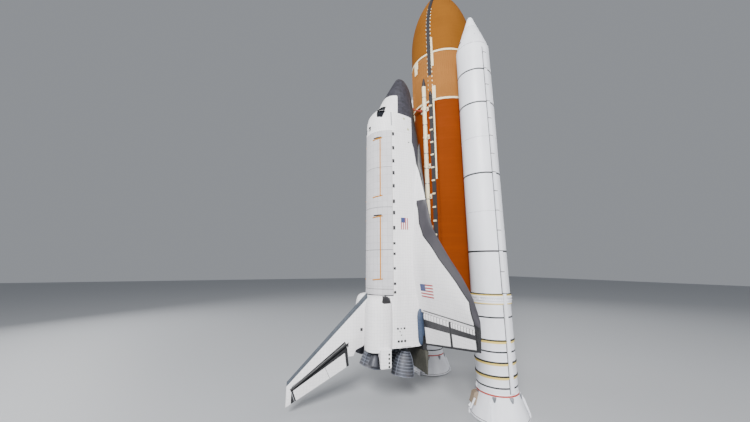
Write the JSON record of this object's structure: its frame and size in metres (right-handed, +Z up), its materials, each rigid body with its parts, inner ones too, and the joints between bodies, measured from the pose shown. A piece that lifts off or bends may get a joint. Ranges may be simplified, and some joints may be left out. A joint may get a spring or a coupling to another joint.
{
  "type": "space shuttle launch stack scale model",
  "caption": "Space shuttle standing nose up as a tenth-scale model: winged orbiter with opening payload doors, carried on an orange tank between white boosters.",
  "frame": {"origin": "on the floor, under the middle of the stack's breadth and depth", "axes": "+Z up, towards the noses; +X to the orbiter's starboard and the right booster; the orbiter's back and fin face -Y, the tank is towards +Y"},
  "size_m": [2.379, 2.3358, 5.4639],
  "materials": {
    "white_tile": "matte tiles and quilted blankets",
    "black_tile": "satin glass-coated tiles",
    "carbon_edge": "weathered carbon composite",
    "orange_foam": "sprayed foam, rough",
    "light_foam": "sprayed foam, rough",
    "cream_foam": "smooth cast foam",
    "booster_paint": "satin white paint on steel",
    "bare_steel": "machined",
    "engine_steel": "heat-tinted nickel alloy",
    "nozzle_liner": "charred liner",
    "window_glass": "dark glazing"
  },
  "bodies": {
    "root": {"tank_nose_spike": "cream_foam", "tank_liquid_oxygen": "light_foam", "tank_intertank": "light_foam", "tank_liquid_hydrogen": "orange_foam", "tank_feedline": "cream_foam", "tank_cable_tray": "light_foam", "tank_bipod": "bare_steel", "tank_aft_attach": "bare_steel", "booster_left_nose": "booster_paint", "booster_left_forward_skirt": "booster_paint", "booster_left_motor": "booster_paint", "booster_left_attach_ring": "booster_paint", "booster_left_tunnel": "booster_paint", "booster_left_aft_skirt": "booster_paint", "booster_left_nozzle": "nozzle_liner", "booster_left_struts": "booster_paint", "booster_right_nose": "booster_paint", "booster_right_forward_skirt": "booster_paint", "booster_right_motor": "booster_paint", "booster_right_attach_ring": "booster_paint", "booster_right_tunnel": "booster_paint", "booster_right_aft_skirt": "booster_paint", "booster_right_nozzle": "nozzle_liner", "booster_right_struts": "booster_paint", "orbiter_nose_cap": "carbon_edge", "orbiter_forward_fuselage": "white_tile", "orbiter_windows": "window_glass", "orbiter_mid_fuselage": "white_tile", "orbiter_aft_fuselage": "white_tile", "wing_right": "white_tile", "wing_left": "white_tile", "wing_edge_right": "carbon_edge", "wing_edge_left": "carbon_edge", "fin": "white_tile", "pod_right": "white_tile", "pod_left": "white_tile"},
    "orbiter_hatch": {"orbiter_hatch": "white_tile"},
    "bay_door_right": {"bay_door_right": "white_tile"},
    "bay_door_left": {"bay_door_left": "white_tile"},
    "elevon_inboard_right": {"elevon_inboard_right": "white_tile"},
    "elevon_outboard_right": {"elevon_outboard_right": "white_tile"},
    "elevon_inboard_left": {"elevon_inboard_left": "white_tile"},
    "elevon_outboard_left": {"elevon_outboard_left": "white_tile"},
    "body_flap": {"body_flap": "black_tile"},
    "rudder_hub": {"rudder_hub": "black_tile"},
    "rudder_right": {"rudder_right": "white_tile"},
    "rudder_left": {"rudder_left": "white_tile"},
    "main_gimbal_upper": {"main_gimbal_upper": "bare_steel"},
    "main_engine_upper": {"main_engine_upper": "engine_steel"},
    "main_gimbal_left": {"main_gimbal_left": "bare_steel"},
    "main_engine_left": {"main_engine_left": "engine_steel"},
    "main_gimbal_right": {"main_gimbal_right": "bare_steel"},
    "main_engine_right": {"main_engine_right": "engine_steel"},
    "pod_gimbal_left": {"pod_gimbal_left": "bare_steel"},
    "pod_engine_left": {"pod_engine_left": "engine_steel"},
    "pod_gimbal_right": {"pod_gimbal_right": "bare_steel"},
    "pod_engine_right": {"pod_engine_right": "engine_steel"}
  },
  "joints": [
    {"name": "bay_door_right_hinge", "type": "hinge", "parent": "root", "child": "bay_door_right", "pos_m": [0.26568, -0.16025, 2.00188], "axis": [0, 0, 1], "range_deg": [0, 175.5]},
    {"name": "bay_door_left_hinge", "type": "hinge", "parent": "root", "child": "bay_door_left", "pos_m": [-0.26568, -0.16025, 2.00188], "axis": [0, 0, -1], "range_deg": [0, 175.5]},
    {"name": "elevon_inboard_right_hinge", "type": "hinge", "parent": "root", "child": "elevon_inboard_right", "pos_m": [0.2921, 0.17744, 0.87793], "axis": [0.999, -0.0455, 0], "range_deg": [-35, 20]},
    {"name": "elevon_outboard_right_hinge", "type": "hinge", "parent": "root", "child": "elevon_outboard_right", "pos_m": [0.79705, 0.15442, 0.87793], "axis": [0.999, -0.0455, 0], "range_deg": [-35, 20]},
    {"name": "elevon_inboard_left_hinge", "type": "hinge", "parent": "root", "child": "elevon_inboard_left", "pos_m": [-0.2921, 0.17744, 0.87793], "axis": [0.999, 0.0455, 0], "range_deg": [-35, 20]},
    {"name": "elevon_outboard_left_hinge", "type": "hinge", "parent": "root", "child": "elevon_outboard_left", "pos_m": [-0.79705, 0.15442, 0.87793], "axis": [0.999, 0.0455, 0], "range_deg": [-35, 20]},
    {"name": "body_flap_hinge", "type": "hinge", "parent": "root", "child": "body_flap", "pos_m": [0, 0.17249, 0.50963], "axis": [1, 0, 0], "range_deg": [-11.7, 22.5]},
    {"name": "rudder_turn", "type": "hinge", "parent": "root", "child": "rudder_hub", "pos_m": [0, -0.59459, 0.58683], "axis": [0, -0.8208, -0.5712], "range_deg": [-27.1, 27.1]},
    {"name": "speed_brake_right", "type": "hinge", "parent": "rudder_hub", "child": "rudder_right", "pos_m": [0, -0.59459, 0.58683], "axis": [0, -0.8208, -0.5712], "range_deg": [0, 49.3]},
    {"name": "speed_brake_left", "type": "hinge", "parent": "rudder_hub", "child": "rudder_left", "pos_m": [0, -0.59459, 0.58683], "axis": [0, -0.8208, -0.5712], "range_deg": [-49.3, 0]},
    {"name": "main_yaw_upper", "type": "hinge", "parent": "root", "child": "main_gimbal_upper", "pos_m": [0, -0.22121, 0.73061], "axis": [0, -0.9613, 0.2756], "range_deg": [-8.5, 8.5]},
    {"name": "main_pitch_upper", "type": "hinge", "parent": "main_gimbal_upper", "child": "main_engine_upper", "pos_m": [0, -0.22121, 0.73061], "axis": [1, 0, 0], "range_deg": [-10.5, 10.5]},
    {"name": "main_yaw_left", "type": "hinge", "parent": "root", "child": "main_gimbal_left", "pos_m": [-0.13462, 0.03371, 0.67175], "axis": [0.0106, -0.9848, 0.1733], "range_deg": [-8.5, 8.5]},
    {"name": "main_pitch_left", "type": "hinge", "parent": "main_gimbal_left", "child": "main_engine_left", "pos_m": [-0.13462, 0.03371, 0.67175], "axis": [0.9981, 0, -0.061], "range_deg": [-10.5, 10.5]},
    {"name": "main_yaw_right", "type": "hinge", "parent": "root", "child": "main_gimbal_right", "pos_m": [0.13462, 0.03371, 0.67175], "axis": [-0.0106, -0.9848, 0.1733], "range_deg": [-8.5, 8.5]},
    {"name": "main_pitch_right", "type": "hinge", "parent": "main_gimbal_right", "child": "main_engine_right", "pos_m": [0.13462, 0.03371, 0.67175], "axis": [0.9981, 0, 0.061], "range_deg": [-10.5, 10.5]},
    {"name": "pod_yaw_left", "type": "hinge", "parent": "root", "child": "pod_gimbal_left", "pos_m": [-0.22352, -0.33043, 0.60361], "axis": [0.0308, -0.9622, 0.2705], "range_deg": [-7, 7]},
    {"name": "pod_pitch_left", "type": "hinge", "parent": "pod_gimbal_left", "child": "pod_engine_left", "pos_m": [-0.22352, -0.33043, 0.60361], "axis": [0.9936, 0, -0.1132], "range_deg": [-6, 6]},
    {"name": "pod_yaw_right", "type": "hinge", "parent": "root", "child": "pod_gimbal_right", "pos_m": [0.22352, -0.33043, 0.60361], "axis": [-0.0308, -0.9622, 0.2705], "range_deg": [-7, 7]},
    {"name": "pod_pitch_right", "type": "hinge", "parent": "pod_gimbal_right", "child": "pod_engine_right", "pos_m": [0.22352, -0.33043, 0.60361], "axis": [0.9936, 0, 0.1132], "range_deg": [-6, 6]},
    {"name": "hatch_hinge", "type": "hinge", "parent": "root", "child": "orbiter_hatch", "pos_m": [-0.25095, 0.01145, 3.15123], "axis": [0, 0, -1], "range_deg": [0, 90]}
  ],
  "couplings": [
    {"joint": "speed_brake_left", "follows": "speed_brake_right", "ratio": -1}
  ]
}
